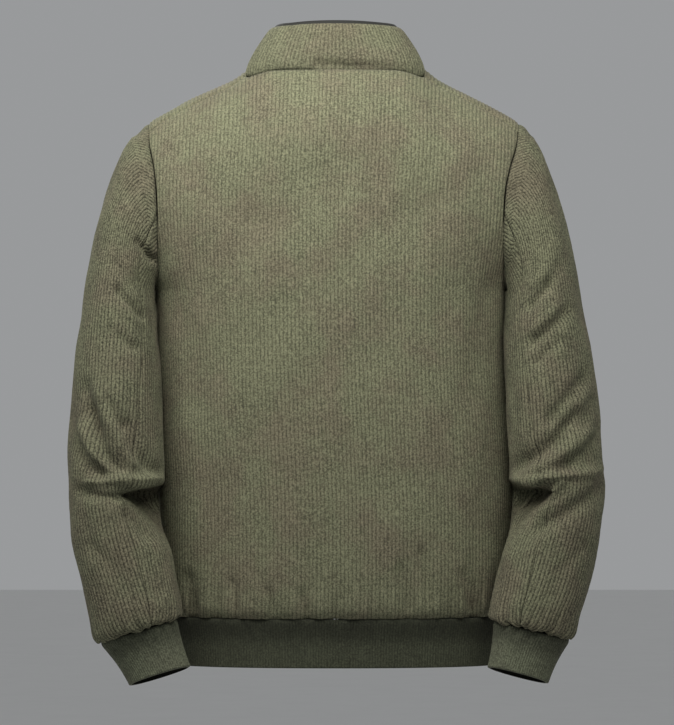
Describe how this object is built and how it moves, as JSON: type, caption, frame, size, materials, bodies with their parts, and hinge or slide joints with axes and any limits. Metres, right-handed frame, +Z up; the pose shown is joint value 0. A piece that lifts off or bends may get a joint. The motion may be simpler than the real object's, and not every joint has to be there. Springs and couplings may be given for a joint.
{
  "type": "corduroy zip jacket with stand collar and ribbed hem",
  "caption": "Worn, empty corduroy jacket with a stand collar, closed front zip, two-piece sleeves, knitted cuffs and a knitted hem band.",
  "frame": {"origin": "middle of the neck opening at the height of the neck-shoulder points, where the wearer's shoulders carry it", "axes": "+Z up along the wearer, +X to the wearer's left, +Y to the wearer's back"},
  "size_m": [0.6092, 0.2917, 0.7558],
  "materials": {
    "corduroy": "dull olive ribbed cotton pile",
    "rib_knit": "dark olive ribbed knit",
    "facing_cloth": "dark plain cloth",
    "zip_tape": "dark woven tape",
    "zip_metal": "dark aged metal"
  },
  "bodies": {
    "jacket": {"back_panel": "corduroy", "front_left": "corduroy", "front_right": "corduroy", "sleeve_top_left": "corduroy", "sleeve_top_right": "corduroy", "sleeve_under_left": "corduroy", "sleeve_under_right": "corduroy", "collar_stand": "corduroy", "cuff_left": "rib_knit", "cuff_right": "rib_knit", "hem_band": "rib_knit", "collar_facing": "facing_cloth", "zip_tape_left": "zip_tape", "zip_tape_right": "zip_tape", "zip_teeth": "zip_metal", "zip_slider": "zip_metal"},
    "zip_pull": {"zip_pull": "zip_metal"}
  },
  "joints": [
    {"name": "zip_pull_hinge", "type": "hinge", "parent": "jacket", "child": "zip_pull", "pos_m": [0.0003, -0.08934, -0.02228], "axis": [-1, 0, 0], "range_deg": [0, 160]}
  ]
}
